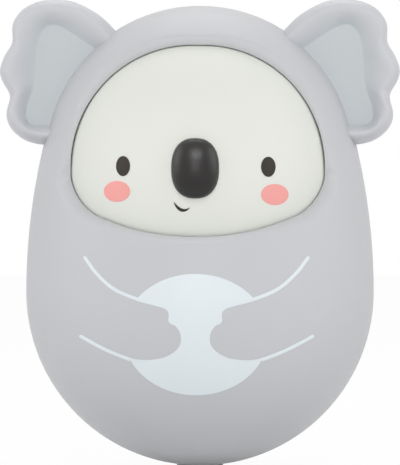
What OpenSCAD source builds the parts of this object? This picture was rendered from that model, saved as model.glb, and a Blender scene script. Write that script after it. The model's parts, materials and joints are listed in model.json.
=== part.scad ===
// Roly-poly animal toy. An egg-shaped shell in two halves carries two ears and rocks on its round base.
// A weighted head ball nods behind the face window. Below it are an iron ballast and a rod chime.
// Millimetres, +Z up, the face towards -Y, origin at the lowest point of the base.

/* [Shell] */
// Radius of the round base
base_r = 45; // [44:0.25:47]
// Height from the floor to the crown
body_h = 119; // [117:0.5:123]
// Radius of the side arc between the base and the crown
side_r = 163; // [150:1:180]
// Wall of both halves
shell_wall = 2; // [1.8:0.1:2.3]
// Radius of the flat foot that lets the toy stand still
sole_r = 6; // [4.5:0.25:7]
// Thickness of that foot
sole_t = 1; // [0.8:0.1:1.2]
// Depth of the tongue at the seam
lip_depth = 1.6; // [1:0.1:2.2]
// Thickness of the tongue at the seam
lip_t = 0.8; // [0.6:0.05:0.9]
// Step between the inside of the wall and the tongue
lip_step = 0.15; // [0.1:0.05:0.3]
// Clearance round the tongue
lip_gap = 0.08; // [0.05:0.01:0.15]

/* [Face window] */
// Height of the widest part of the window
win_z = 77; // [76:0.25:78]
// Half the width of the window
win_half_w = 32.1; // [31:0.1:32.4]
// Radius of the upper arcs
win_top_r = 30.6; // [29.5:0.1:30.8]
// Height of the lower edge at the middle
win_bottom_z = 59.6; // [58.5:0.1:61]
// Radius of the lower corners
corner_r = 11; // [9:0.25:12.5]
// How far the corner centres lie below the widest part
corner_drop = 1.3; // [0.8:0.1:2]
// Width of the collar behind the edge of the window
collar_w = 1.4; // [1:0.1:1.6]
// Gap between the collar and the head ball
rim_gap = 0.45; // [0.4:0.05:0.8]

/* [Head ball] */
// Radius of the ball
ball_r = 33.5; // [33:0.1:33.8]
// How far the centre of the ball lies in front of the seam
ball_fwd = 12.9; // [12.5:0.1:13.5]
// Height of the centre of the ball
ball_z = 76.1; // [75.7:0.1:76.6]
// Wall of both ball halves
ball_wall = 1.6; // [1.4:0.1:2]
// Distance of the ball screws from the axle
ball_screw_r = 24; // [22:0.25:25]
// Direction of the two lower ball screws below the axle
ball_screw_angle = 32; // [28:1:38]
// Material under the heads of the ball screws
ball_seat = 4; // [3:0.25:5]
// Largest nod to either side
nod_limit = 12; // [8:0.5:13]
// Width of the stop fin
fin_w = 8; // [6:0.5:10]
// Thickness of the stop fin
fin_t = 3; // [2:0.25:4]
// Length of the stop fin outside the ball
fin_len = 6.4; // [5:0.2:7]
// Clearance between the fin and its stops at the largest nod
stop_gap = 0.35; // [0.3:0.05:0.6]

/* [Axle and head weight] */
// Diameter of the axle
axle_d = 3; // [2.5:0.1:3.5]
// Radial running clearance of the axle
axle_gap = 0.06; // [0.03:0.01:0.1]
// Gap at each end of the axle
axle_end_gap = 0.3; // [0.2:0.05:0.5]
// Diameter of the axle bosses inside the ball
axle_boss_d = 8; // [7:0.25:9]
// Length of the axle bosses
axle_boss_len = 9; // [6:0.5:11]
// Gap between the ball and its bearings
side_gap = 0.6; // [0.5:0.05:0.8]
// Width of each bearing
bearing_w = 3; // [2.6:0.1:3.2]
// Height of each bearing
bearing_h = 10; // [8:0.5:12]
// How far each bearing reaches behind the axle
bearing_back = 4; // [3:0.25:6]
// How far each bearing reaches in front of the axle
bearing_front = 10; // [9:0.5:12]
// Clearance of the finger that closes a bearing
finger_gap = 0.12; // [0.08:0.01:0.2]
// Height of the web that carries the finger
web_h = 6; // [4:0.5:8]
// How far the web stays behind the seam
web_back = 0.6; // [0.4:0.1:1]
// Diameter of the head weight
weight_d = 12; // [11:0.25:12.5]
// Length of the head weight
weight_len = 22; // [18:0.5:23]
// How far the head weight hangs below the axle
weight_drop = 22.8; // [21.5:0.1:23]
// How far the head weight lies behind the axle
weight_back = 1.2; // [0:0.05:1.5]
// Clearance round the head weight in its saddles
weight_gap = 0.1; // [0.05:0.01:0.2]
// Thickness of the saddles
saddle_t = 2; // [1.6:0.1:2.5]
// Distance of the saddles from the middle
saddle_x = 7; // [5:0.25:8]
// How far the saddles rise above the middle of the weight
saddle_rise = 4; // [3:0.25:5]

/* [Nose and face prints] */
// Width of the nose
nose_w = 11.9; // [10:0.1:13]
// Height of the nose
nose_h = 14.9; // [13:0.1:16]
// How far the nose stands out of the ball
nose_out = 3.6; // [2.5:0.1:4.2]
// How far the middle of the nose lies inside the ball
nose_set = 1; // [0.5:0.1:1.5]
// Diameter of the stem of the nose
stem_d = 4; // [3:0.1:4.5]
// Clearance of the stem in the ball
stem_gap = 0.1; // [0.05:0.01:0.2]
// Length of the stem behind the pad
stem_len = 2.6; // [2:0.1:4]
// Diameter of the pad inside the ball
pad_d = 11; // [10:0.25:13]
// Thickness of the pad inside the ball
pad_t = 1; // [0.8:0.1:1.6]
// Outer diameter of the push nut
clip_d = 9; // [7:0.25:9.5]
// Thickness of the push nut
clip_t = 1; // [0.6:0.1:1.4]
// Thickness of all prints
print_t = 0.1; // [0.08:0.01:0.12]
// Gap under all prints
ink_gap = 0.02; // [0.01:0.005:0.03]
// Distance of the eyes from the middle
eye_x = 18; // [16:0.25:19]
// Height of the eyes above the axle
eye_up = 0.6; // [-1:0.1:2]
// Width of an eye
eye_w = 3.6; // [3:0.1:4.5]
// Height of an eye
eye_h = 5; // [4:0.1:6]
// Distance of the cheeks from the middle
cheek_x = 19.6; // [18:0.1:20.5]
// Depth of the cheeks below the axle
cheek_down = 6; // [5.5:0.1:7]
// Width of a cheek
cheek_w = 6.5; // [5:0.1:7]
// Height of a cheek
cheek_h = 4.8; // [4:0.1:5.5]
// Radius of the smile
smile_r = 2.55; // [2:0.05:3]
// Thickness of the smile at its thickest point
smile_t = 0.55; // [0.4:0.05:0.8]
// Direction in which the smile is thickest
smile_angle = 248; // [230:1:270]
// Distance of the smile from the middle
smile_x = 2.9; // [1:0.1:4]
// Depth of the smile below the axle
smile_down = 8; // [7.5:0.1:10]

/* [Tummy print] */
// Half the width of the tummy
tummy_half_w = 17.6; // [16:0.1:19]
// Half the height of the tummy
tummy_half_h = 15.3; // [14:0.1:16]
// Height of the middle of the tummy
tummy_z = 34.8; // [33:0.1:37]
// Width of the arm lines
line_w = 0.85; // [0.6:0.05:1.2]
// Radius of the upper line of an arm
upper_line_r = 27.15; // [25:0.05:30]
// Distance of its centre from the middle
upper_line_x = 5.6; // [4:0.1:7]
// Height of its centre
upper_line_z = 68.6; // [67:0.1:70]
// Radius of the lower line of an arm
lower_line_r = 26.65; // [25:0.05:29]
// Distance of its centre from the middle
lower_line_x = 12.9; // [11:0.1:15]
// Height of its centre
lower_line_z = 55.4; // [54:0.1:57]
// Distance at which the arm lines end
line_end_x = 28.8; // [26:0.1:30]
// Distance of the wrists from the middle
wrist_x = 6.9; // [6:0.1:8]
// Radius of a paw
paw_r = 5.3; // [4.5:0.1:6]
// Distance of the paws from the middle
paw_x = 8.9; // [8.2:0.1:10]
// Height of the paws
paw_z = 33.9; // [32:0.1:35]

/* [Ears] */
// How far the root of an ear lies outside the round crown
ear_out = 0.7; // [0:0.1:1.5]
// Direction of the root of an ear above the middle of the crown
ear_angle = 31.3; // [30:0.1:32.5]
// Place of the middle of the rim in front of the seam
ear_fwd = 2.75; // [2:0.25:3.5]
// Thickness of the rim
ear_t = 15.5; // [14:0.25:16.5]
// Depth of the dish below the rim
dish_depth = 4.5; // [3:0.25:5.5]
// Width of the rim, as a share of the ear's reach
rim_share = 0.36; // [0.28:0.01:0.42]
// Width of the floor of the dish, as a share of the ear's reach
floor_share = 0.42; // [0.3:0.01:0.5]
// Sharpness of the notches between the lobes
lobe_blend = 30; // [16:1:40]
// Radius of the upper lobe
top_lobe_r = 12.1; // [11.5:0.1:13]
// How far the upper lobe lies outwards of the root
top_lobe_out = 2; // [1:0.1:3]
// How far the upper lobe lies above the root
top_lobe_up = 8.6; // [8:0.1:9.5]
// Radius of the fill between the upper lobe and the head
fill_lobe_r = 11.4; // [11:0.1:12]
// How far the fill lies inwards of the root
fill_lobe_in = 4; // [3:0.1:5]
// How far the fill lies above the root
fill_lobe_up = 6; // [5:0.1:7]
// Radius of the middle lobe
mid_lobe_r = 9.3; // [9:0.1:10]
// How far the middle lobe lies outwards of the root
mid_lobe_out = 7.5; // [7:0.1:8]
// How far the middle lobe lies above the root
mid_lobe_up = 2.5; // [2:0.1:3]
// Radius of the lower lobe
low_lobe_r = 6.9; // [6.5:0.1:7.5]
// How far the lower lobe lies outwards of the root
low_lobe_out = 8; // [7.5:0.1:8.5]
// How far the lower lobe lies below the root
low_lobe_down = 9.5; // [9:0.1:10]
// Radius of the part inside the head
root_lobe_r = 12; // [11:0.1:12.5]
// How far that part lies inwards of the root
root_lobe_in = 2; // [1:0.1:3]
// How far that part lies below the root
root_lobe_down = 3; // [2:0.1:4]
// Steps round the outline of an ear
ear_steps = 56; // [40:2:72]
// Clearance between an ear and the shell
ear_gap = 0.05; // [0.03:0.01:0.1]
// Direction of the tang above the middle of the head
tang_angle = 29; // [27:0.5:31]
// Width of the tang
tang_w = 12; // [10:0.25:13]
// Thickness of the tang
tang_t = 4; // [3:0.25:4.5]
// How far the tang reaches into the ear
tang_in = 5; // [3:0.25:6]
// Clearance of the tang in its slot
tang_gap = 0.1; // [0.05:0.01:0.2]
// Width of the flange of the tang
flange_w = 15; // [14:0.25:16]
// Depth of the flange from front to back
flange_d = 8; // [6:0.25:8.5]
// Thickness of the flange
flange_t = 2; // [1.5:0.1:2.5]
// Clearance of the corners of the flange
flange_gap = 0.1; // [0.05:0.01:0.2]

/* [Screws] */
// How far the upper shell screws lie inside the round crown
top_screw_in = 5.1; // [5:0.05:5.3]
// Direction of the upper shell screws above the middle of the crown
top_screw_angle = 51.3; // [50.8:0.1:52]
// How far the lower shell screws lie inside the round base
low_screw_in = 11.6; // [10.8:0.1:12.4]
// Direction of the lower shell screws below the middle of the base
low_screw_angle = 8.6; // [2:0.1:14]
// Shank diameter of the small screws
screw_d = 2.6; // [2.4:0.1:2.7]
// Length of the small screws under the head
screw_len = 10; // [9:0.5:11]
// Head diameter of the small screws
screw_head_d = 5; // [4.6:0.1:5.2]
// Head height of the small screws
screw_head_h = 2; // [1.6:0.1:2.4]
// Radial clearance of the small screws in their holes
screw_gap = 0.05; // [0.03:0.01:0.1]
// Radial clearance of the screw heads in their wells
well_gap = 0.3; // [0.2:0.05:0.4]
// Depth of the screw holes past the screws
hole_extra = 1; // [0.5:0.1:2]
// Material under the heads of the shell screws
shell_seat = 3; // [2.5:0.25:4]
// Diameter of the front screw bosses
boss_d = 5.6; // [5:0.1:5.8]
// Wall round the screw wells
well_wall = 1.1; // [0.9:0.1:1.3]

/* [Ballast and carrier plate] */
// Height of the underside of the carrier plate
plate_z = 19.2; // [18:0.2:20]
// Thickness of the carrier plate
plate_t = 2.5; // [2:0.1:3]
// Clearance between the carrier plate and the shell
plate_gap = 0.1; // [0.05:0.01:0.2]
// Inner radius of the ledge over the carrier plate
ledge_r = 31.5; // [30.5:0.25:32]
// Thickness of the ledge
ledge_t = 2; // [1.5:0.1:2.5]
// Clearance between the ballast and the shell
ballast_gap = 0.4; // [0.3:0.05:0.6]
// How much smaller the ballast's curve is than the inside of the base
ballast_less = 4.6; // [4.2:0.1:6]
// How far the ballast lies behind the middle
ballast_back = 2.55; // [2:0.05:3]
// Shank diameter of the ballast screws
iron_screw_d = 3.9; // [3.5:0.1:4.2]
// Length of the ballast screws under the head
iron_screw_len = 9; // [8:0.25:10]
// Head diameter of the ballast screws
iron_head_d = 7; // [6.5:0.1:7.5]
// Head height of the ballast screws
iron_head_h = 2.4; // [2:0.1:2.8]
// Distance of the ballast screws from the middle of the ballast
iron_screw_r = 20; // [19:0.25:21]

/* [Chime] */
// How far the chime lies behind the middle
chime_back = 4; // [3.5:0.1:5]
// Diameter of the chime rods
rod_d = 2.4; // [2:0.1:2.6]
// Distance of the rods from the clapper at rest
rod_x = 11.6; // [11.2:0.1:12.5]
// Spacing of the rods along a side
rod_pitch = 7; // [6:0.25:7.5]
// Depth of the rods in the carrier plate
rod_set = 2; // [1.5:0.1:2.3]
// Length of the shortest rod above the plate
rod_len = 11; // [10.5:0.25:12]
// Step in length from rod to rod
rod_step = 1; // [0.6:0.1:1.1]
// Height of the pivot of the clapper
pivot_z = 38; // [37.5:0.1:38.5]
// Distance from the pivot to the middle of the hammer
clapper_len = 11.6; // [11:0.1:11.8]
// Diameter of the hammer
hammer_d = 7.6; // [7:0.1:8]
// Length of the hammer
hammer_len = 20; // [18:0.5:20.5]
// Width of the clapper arm
arm_w = 3; // [2.5:0.1:4]
// Thickness of the clapper arm
arm_t = 3.4; // [3:0.1:3.6]
// Diameter of the eye of the clapper
eye_d = 4.6; // [4.2:0.1:5]
// Diameter of the clapper pin
pin_d = 2; // [1.6:0.1:2.2]
// Radial running clearance of the clapper on its pin
pin_gap = 0.06; // [0.03:0.01:0.1]
// Gap between the clapper arm and the lugs
lug_gap = 0.35; // [0.3:0.05:0.5]
// Thickness of the lugs
lug_t = 1.6; // [1.4:0.1:1.8]
// Width of the lugs
lug_w = 5; // [4.4:0.1:6]
// How far the lugs reach below the pivot
lug_low = 2.2; // [2:0.1:2.4]
// Inner distance of the legs of the bridge from the middle
leg_x = 20; // [19:0.25:21]
// Thickness of the legs and the top of the bridge
bridge_t = 3; // [2.5:0.1:3.5]
// Depth of the bridge from front to back
bridge_d = 7; // [6.6:0.1:7.4]
// Underside of the top of the bridge above the pivot
bridge_up = 2.8; // [2.6:0.1:3]
// Length of the feet
foot_len = 6.4; // [6:0.1:6.6]
// Thickness of the feet
foot_t = 2.4; // [2:0.1:3]
// Distance of the bridge screws from the legs
foot_screw_x = 3.4; // [3.2:0.1:3.6]
// Length of the bridge screws under the head
foot_screw_len = 4.4; // [4:0.1:4.6]

/* [Hidden] */
// Smoothness of curves
$fn = 96;
// Colours of the nodes
shell_grey = [0.58, 0.58, 0.59];
ear_grey = [0.56, 0.57, 0.58];
face_cream = [0.80, 0.82, 0.76];
inner_white = [0.75, 0.75, 0.73];
gloss_black = [0.05, 0.045, 0.045];
cheek_pink = [0.88, 0.38, 0.35];
tummy_pale = [0.74, 0.80, 0.83];
steel_grey = [0.45, 0.46, 0.48];
iron_dark = [0.13, 0.13, 0.14];
hammer_wood = [0.55, 0.36, 0.18];
// How far a cut runs past the face that it opens
cut_over = 0.5;
// A box this long reaches past everything
reach = 2 * body_h;
// A radius that no outline needs
no_reach = 0.01;
// Egg outline: the side arc touches the round base and the round crown
side_c = side_r - base_r;
top_h = body_h - base_r;
head_r = (side_r * side_r - side_c * side_c - top_h * top_h) / (2 * (side_r - top_h));
head_z = body_h - head_r;
function blend_z(inset) = head_z + (head_r - inset) * (head_z - base_r) / (side_r - head_r);
// Window outline: the lower arc touches both corner arcs
win_top_x = win_half_w - win_top_r;
corner_x = win_half_w - corner_r;
corner_z = win_z - corner_drop;
corner_rise = corner_z - win_bottom_z;
lower_r = (corner_x * corner_x + corner_rise * corner_rise - corner_r * corner_r)
    / (2 * (corner_rise - corner_r));
lower_z = win_bottom_z + lower_r;
function touch_x(grow) = (lower_r + grow) * corner_x / (lower_r - corner_r);
// Axle and bearings
bearing_x = ball_r + side_gap;
axle_half = bearing_x + bearing_w;
axle_hole_d = axle_d + 2 * axle_gap;
weight_z = ball_z - weight_drop;
weight_y = weight_back - ball_fwd;
fin_tip = ball_r + fin_len;
stop_z = fin_tip * sin(nod_limit) + fin_t / 2 + stop_gap;
// Nose
nose_y = nose_set - ball_fwd - ball_r;
pad_y = ball_wall + pad_t - ball_fwd - ball_r;
// Tang of the ears
inner_head_r = head_r - shell_wall;
corner_flange_r = inner_head_r - flange_gap;
flange_r = sqrt(corner_flange_r * corner_flange_r - flange_w * flange_w / 4 - flange_d * flange_d / 4);
// Root of the ears
root_r = head_r + ear_out;
ear_x = root_r * cos(ear_angle);
ear_z = head_z + root_r * sin(ear_angle);
// Screws
top_screw_r = head_r - top_screw_in;
top_screw_x = top_screw_r * cos(top_screw_angle);
top_screw_z = head_z + top_screw_r * sin(top_screw_angle);
low_screw_r = base_r - low_screw_in;
low_screw_x = low_screw_r * cos(low_screw_angle);
low_screw_z = base_r - low_screw_r * sin(low_screw_angle);
screw_hole_d = screw_d + 2 * screw_gap;
well_d = screw_head_d + 2 * well_gap;
pillar_d = well_d + 2 * well_wall;
// Ballast
ballast_r = base_r - shell_wall - ballast_gap - ballast_less;
ballast_z = base_r - sqrt(ballast_less * ballast_less - ballast_back * ballast_back);
plate_top = plate_z + plate_t;
iron_hole_d = iron_screw_d + 2 * screw_gap;
// Chime
hammer_z = pivot_z - clapper_len;
bridge_z = pivot_z + bridge_up;
lug_y = arm_t / 2 + lug_gap;
pin_half = lug_y + lug_t;
foot_x = leg_x + bridge_t;
foot_hole_x = foot_x + foot_screw_x;
foot_top = plate_top + foot_t;

// Right half of the egg outline, moved inwards by inset
module half_outline(inset) {
    intersection() {
        translate([0, base_r])
            circle(r = base_r - inset);
        square([2 * base_r, base_r]);
    }
    intersection() {
        translate([-side_c, base_r])
            circle(r = side_r - inset);
        translate([0, base_r])
            square([2 * base_r, blend_z(inset) - base_r]);
    }
    intersection() {
        translate([0, head_z])
            circle(r = head_r - inset);
        translate([0, blend_z(inset)])
            square([2 * base_r, body_h]);
    }
}

// Whole egg outline in the plane of the seam
module outline(inset) {
    half_outline(inset);
    mirror([1, 0])
        half_outline(inset);
}

module egg(inset) {
    rotate_extrude()
        half_outline(inset);
}

// The egg with its flat foot
module footed_egg() {
    rotate_extrude() {
        difference() {
            half_outline(0);
            translate([-cut_over, -cut_over])
                square([cut_over + sole_r, cut_over + sole_t / 2]);
        }
        square([sole_r, sole_t]);
    }
}

// A shape drawn in x and z, drawn out along y
module along_y(from, to) {
    translate([0, to, 0])
        rotate([90, 0, 0])
            linear_extrude(height = to - from)
                children();
}

module rod_along_y(d, from, to) {
    translate([0, to, 0])
        rotate([90, 0, 0])
            cylinder(d = d, h = to - from);
}

module rod_along_x(d, from, to) {
    translate([from, 0, 0])
        rotate([0, 90, 0])
            cylinder(d = d, h = to - from);
}

module both_sides() {
    children();
    mirror([1, 0, 0])
        children();
}

module front_space() {
    translate([-reach / 2, -reach, -reach / 2])
        cube([reach, reach, 2 * reach]);
}

module rear_space() {
    translate([-reach / 2, 0, -reach / 2])
        cube([reach, reach, 2 * reach]);
}

// Outline of the face window, moved outwards by grow
module window(grow) {
    intersection() {
        union() {
            translate([win_top_x, win_z])
                circle(r = win_top_r + grow);
            translate([-win_top_x, win_z])
                circle(r = win_top_r + grow);
            translate([-win_top_x, win_z])
                square([2 * win_top_x, win_top_r + grow]);
        }
        translate([-reach / 2, win_z])
            square([reach, reach]);
    }
    translate([-win_half_w - grow, corner_z])
        square([2 * (win_half_w + grow), corner_drop]);
    translate([corner_x, corner_z])
        circle(r = corner_r + grow);
    translate([-corner_x, corner_z])
        circle(r = corner_r + grow);
    intersection() {
        translate([0, lower_z])
            circle(r = lower_r + grow);
        translate([-touch_x(grow), win_bottom_z - corner_r])
            square([2 * touch_x(grow), corner_z + corner_r - win_bottom_z]);
    }
}

module shell_screw_places() {
    both_sides() {
        translate([top_screw_x, 0, top_screw_z])
            children();
        translate([low_screw_x, 0, low_screw_z])
            children();
    }
}

// Frame at the tang of the right ear: z points away from the middle of the head
module at_tang() {
    translate([0, 0, head_z])
        rotate([0, 90 - tang_angle, 0])
            children();
}

module tang_slot() {
    both_sides()
        at_tang()
            translate([-tang_w / 2 - tang_gap, -tang_t / 2 - tang_gap, flange_r])
                cube([tang_w + 2 * tang_gap, tang_t + 2 * tang_gap, head_r]);
}

// Half of the ledge that holds the carrier plate down
module ledge() {
    translate([0, 0, plate_top + plate_gap])
        difference() {
            cylinder(r = base_r, h = ledge_t);
            translate([0, 0, -cut_over])
                cylinder(r = ledge_r, h = ledge_t + 2 * cut_over);
        }
}

module front_inside() {
    shell_screw_places()
        rod_along_y(boss_d, -base_r, 0);
    both_sides()
        translate([bearing_x, -ball_fwd - bearing_front, ball_z - bearing_h / 2])
            cube([base_r, bearing_front + bearing_back, bearing_h]);
    difference() {
        ledge();
        rear_space();
    }
    along_y(-reach, -ball_fwd)
        window(collar_w);
}

module front_shell() {
    color(shell_grey)
        difference() {
            union() {
                difference() {
                    footed_egg();
                    egg(shell_wall);
                    rear_space();
                }
                intersection() {
                    egg(shell_wall / 2);
                    front_inside();
                }
            }
            along_y(-reach, -ball_fwd)
                window(0);
            translate([0, -ball_fwd, ball_z])
                sphere(r = ball_r + rim_gap);
            along_y(-lip_depth - lip_gap, cut_over)
                difference() {
                    outline(shell_wall - lip_step - lip_t - lip_gap);
                    outline(shell_wall + lip_step);
                }
            both_sides() {
                translate([0, -ball_fwd, ball_z])
                    rod_along_x(axle_hole_d, bearing_x - cut_over, axle_half + axle_end_gap);
                translate([bearing_x - cut_over, -ball_fwd, ball_z - axle_hole_d / 2])
                    cube([bearing_w + axle_end_gap + cut_over, ball_fwd, axle_hole_d]);
            }
            shell_screw_places()
                rod_along_y(screw_hole_d, shell_seat - screw_len - hole_extra, cut_over);
            tang_slot();
        }
}

module rear_inside() {
    difference() {
        union() {
            shell_screw_places()
                rod_along_y(pillar_d, 0, base_r);
            both_sides()
                translate([bearing_x + finger_gap, web_back, ball_z - web_h / 2])
                    cube([base_r, base_r, web_h]);
            translate([-fin_w, -ball_fwd + ball_r + fin_len / 2, ball_z + stop_z])
                cube([2 * fin_w, base_r, fin_t]);
            translate([-fin_w, -ball_fwd + ball_r + fin_len / 2, ball_z - stop_z - fin_t])
                cube([2 * fin_w, base_r, fin_t]);
            ledge();
        }
        front_space();
    }
    both_sides()
        translate([bearing_x + finger_gap, axle_hole_d / 2 - ball_fwd, ball_z - axle_hole_d / 2 + finger_gap])
            cube([bearing_w - finger_gap, base_r, axle_hole_d - 2 * finger_gap]);
}

module rear_shell() {
    color(shell_grey)
        difference() {
            union() {
                difference() {
                    footed_egg();
                    egg(shell_wall);
                    front_space();
                }
                along_y(-lip_depth, lip_depth)
                    difference() {
                        outline(shell_wall - lip_step - lip_t);
                        outline(shell_wall - lip_step);
                    }
                intersection() {
                    egg(shell_wall / 2);
                    rear_inside();
                }
            }
            shell_screw_places() {
                rod_along_y(screw_hole_d, -cut_over, base_r);
                rod_along_y(well_d, shell_seat, base_r);
            }
            tang_slot();
        }
}

module small_screw(seat, length) {
    rod_along_y(screw_head_d, seat, seat + screw_head_h);
    rod_along_y(screw_d, seat - length, seat);
}

module shell_screws() {
    color(steel_grey)
        shell_screw_places()
            small_screw(shell_seat, screw_len);
}

// Distance from the root of the ear to the far side of a round lobe in one direction
function lobe_reach(a, c, r) =
    let (
        along = c[0] * cos(a) + c[1] * sin(a),
        off = c[0] * sin(a) - c[1] * cos(a),
        d2 = r * r - off * off
    )
    d2 > 0 ? max(along + sqrt(d2), no_reach) : no_reach;

// Lobes of the right ear: sideways and upward place of the centre from the root, and radius
lobes = [
    [[top_lobe_out, top_lobe_up], top_lobe_r],
    [[-fill_lobe_in, fill_lobe_up], fill_lobe_r],
    [[mid_lobe_out, mid_lobe_up], mid_lobe_r],
    [[low_lobe_out, -low_lobe_down], low_lobe_r],
    [[-root_lobe_in, -root_lobe_down], root_lobe_r]
];

function total(v, i = 0) = i < len(v) ? v[i] + total(v, i + 1) : 0;

// Reach of the whole ear: the largest lobe wins, with soft notches between the lobes
function ear_reach(a) =
    pow(total([for (l = lobes) pow(lobe_reach(a, l[0], l[1]), lobe_blend)]), 1 / lobe_blend);

// Section of the ear: share of the reach and place along y, from the dish round the rim to the back
rim_mid = 1 - rim_share / 2;
rim_first = 155;
rim_last = -90;
rim_steps = 14;
rim_turns = [for (i = [0 : rim_steps]) rim_first + (rim_last - rim_first) * i / rim_steps];
function rim_point(t) = [rim_mid + rim_share / 2 * cos(t), -ear_fwd - ear_t / 2 * sin(t)];
dish_y = dish_depth - ear_fwd - ear_t / 2;
ear_section = concat([[floor_share, dish_y]], [for (t = rim_turns) rim_point(t)]);
ear_rows = len(ear_section);
function ear_point(row, i) =
    let (
        a = 360 * i / ear_steps,
        s = ear_section[row][0] * ear_reach(a)
    )
    [ear_x + s * cos(a), ear_section[row][1], ear_z + s * sin(a)];
function at(row, i) = row * ear_steps + i % ear_steps;
ear_points = concat(
    [for (row = [0 : ear_rows - 1]) for (i = [0 : ear_steps - 1]) ear_point(row, i)],
    [[ear_x, dish_y, ear_z], [ear_x, ear_t / 2 - ear_fwd, ear_z]]
);
front_hub = ear_rows * ear_steps;
back_hub = front_hub + 1;
ear_faces = concat(
    [for (i = [0 : ear_steps - 1]) [front_hub, at(0, i + 1), at(0, i)]],
    [for (row = [0 : ear_rows - 2]) for (i = [0 : ear_steps - 1])
        [at(row, i), at(row, i + 1), at(row + 1, i)]],
    [for (row = [0 : ear_rows - 2]) for (i = [0 : ear_steps - 1])
        [at(row, i + 1), at(row + 1, i + 1), at(row + 1, i)]],
    [for (i = [0 : ear_steps - 1]) [back_hub, at(ear_rows - 1, i), at(ear_rows - 1, i + 1)]]
);

module ear() {
    difference() {
        polyhedron(points = ear_points, faces = ear_faces);
        egg(-ear_gap);
    }
    at_tang() {
        translate([-tang_w / 2, -tang_t / 2, flange_r - flange_t])
            cube([tang_w, tang_t, head_r - flange_r + flange_t + tang_in]);
        translate([-flange_w / 2, -flange_d / 2, flange_r - flange_t])
            cube([flange_w, flange_d, flange_t]);
    }
}

module right_ear() {
    color(ear_grey)
        ear();
}

module left_ear() {
    color(ear_grey)
        mirror([1, 0, 0])
            ear();
}

// Region of the right arm, cut out of the tummy
module arm_region() {
    intersection() {
        difference() {
            translate([lower_line_x, lower_line_z])
                circle(r = lower_line_r);
            translate([upper_line_x, upper_line_z])
                circle(r = upper_line_r);
        }
        translate([wrist_x, 0])
            square([base_r, body_h]);
    }
    translate([paw_x, paw_z])
        circle(r = paw_r);
}

module arc_line(x, z, r) {
    translate([x, z])
        difference() {
            circle(r = r + line_w / 2);
            circle(r = r - line_w / 2);
        }
}

// Lines of the right arm outside the tummy
module arm_lines() {
    intersection() {
        arc_line(upper_line_x, upper_line_z, upper_line_r);
        translate([paw_x + paw_r, tummy_z])
            square([line_end_x - paw_x - paw_r, upper_line_z - tummy_z]);
    }
    intersection() {
        arc_line(lower_line_x, lower_line_z, lower_line_r);
        translate([paw_x + paw_r, 0])
            square([line_end_x - paw_x - paw_r, tummy_z + line_w]);
    }
}

module tummy_print() {
    color(tummy_pale)
        intersection() {
            difference() {
                egg(-ink_gap - print_t);
                egg(-ink_gap);
            }
            along_y(-reach, -base_r / 4) {
                difference() {
                    translate([0, tummy_z])
                        scale([tummy_half_w / tummy_half_h, 1])
                            circle(r = tummy_half_h);
                    arm_region();
                    mirror([1, 0])
                        arm_region();
                }
                arm_lines();
                mirror([1, 0])
                    arm_lines();
            }
        }
}

module carrier_plate() {
    color(inner_white)
        difference() {
            intersection() {
                egg(shell_wall + plate_gap);
                translate([-base_r, -base_r, plate_z])
                    cube([2 * base_r, 2 * base_r, plate_t]);
            }
            iron_screw_places()
                translate([0, 0, plate_z - cut_over])
                    cylinder(d = iron_hole_d, h = plate_t + 2 * cut_over);
            for (i = [1 : 6])
                rod_place(i)
                    translate([0, 0, plate_top - rod_set])
                        cylinder(d = rod_d, h = rod_set + cut_over);
            foot_screw_places()
                translate([0, 0, plate_z - cut_over])
                    cylinder(d = screw_hole_d, h = plate_t + 2 * cut_over);
        }
}

module iron_screw_places() {
    for (a = [90, 210, 330])
        translate([iron_screw_r * cos(a), ballast_back + iron_screw_r * sin(a), 0])
            children();
}

module ballast() {
    color(iron_dark)
        difference() {
            intersection() {
                translate([0, ballast_back, ballast_z])
                    sphere(r = ballast_r);
                translate([-base_r, -base_r, 0])
                    cube([2 * base_r, 2 * base_r, plate_z]);
            }
            iron_screw_places()
                translate([0, 0, plate_top - iron_screw_len - screw_gap])
                    cylinder(d = iron_hole_d, h = iron_screw_len);
            foot_screw_places()
                translate([0, 0, foot_top - foot_screw_len - hole_extra])
                    cylinder(d = screw_hole_d, h = foot_screw_len + hole_extra);
        }
}

module ballast_screws() {
    color(steel_grey)
        iron_screw_places() {
            translate([0, 0, plate_top])
                cylinder(d = iron_head_d, h = iron_head_h);
            translate([0, 0, plate_top - iron_screw_len])
                cylinder(d = iron_screw_d, h = iron_screw_len);
        }
}

// Rods one to three stand left of the clapper, four to six right of it
module rod_place(i) {
    translate([i < 4 ? -rod_x : rod_x, chime_back + rod_pitch * ((i - 1) % 3 - 1), 0])
        children();
}

module chime_rod(i) {
    color(steel_grey)
        rod_place(i)
            translate([0, 0, plate_top - rod_set])
                cylinder(d = rod_d, h = rod_set + rod_len + rod_step * (i - 1));
}

module foot_screw_places() {
    both_sides()
        translate([foot_hole_x, chime_back, 0])
            children();
}

module chime_bridge() {
    color(inner_white)
        translate([0, chime_back, 0])
            difference() {
                union() {
                    translate([-leg_x - bridge_t, -bridge_d / 2, bridge_z])
                        cube([2 * (leg_x + bridge_t), bridge_d, bridge_t]);
                    both_sides() {
                        translate([leg_x, -bridge_d / 2, plate_top])
                            cube([bridge_t, bridge_d, bridge_z - plate_top + bridge_t]);
                        translate([leg_x, -bridge_d / 2, plate_top])
                            cube([bridge_t + foot_len, bridge_d, foot_t]);
                    }
                    for (s = [-lug_y - lug_t, lug_y])
                        translate([-lug_w / 2, s, pivot_z - lug_low])
                            cube([lug_w, lug_t, bridge_up + lug_low + bridge_t]);
                }
                translate([0, 0, pivot_z])
                    rod_along_y(pin_d, -bridge_d, bridge_d);
                both_sides()
                    translate([foot_hole_x, 0, plate_top - cut_over])
                        cylinder(d = screw_hole_d, h = foot_t + 2 * cut_over);
            }
}

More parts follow.
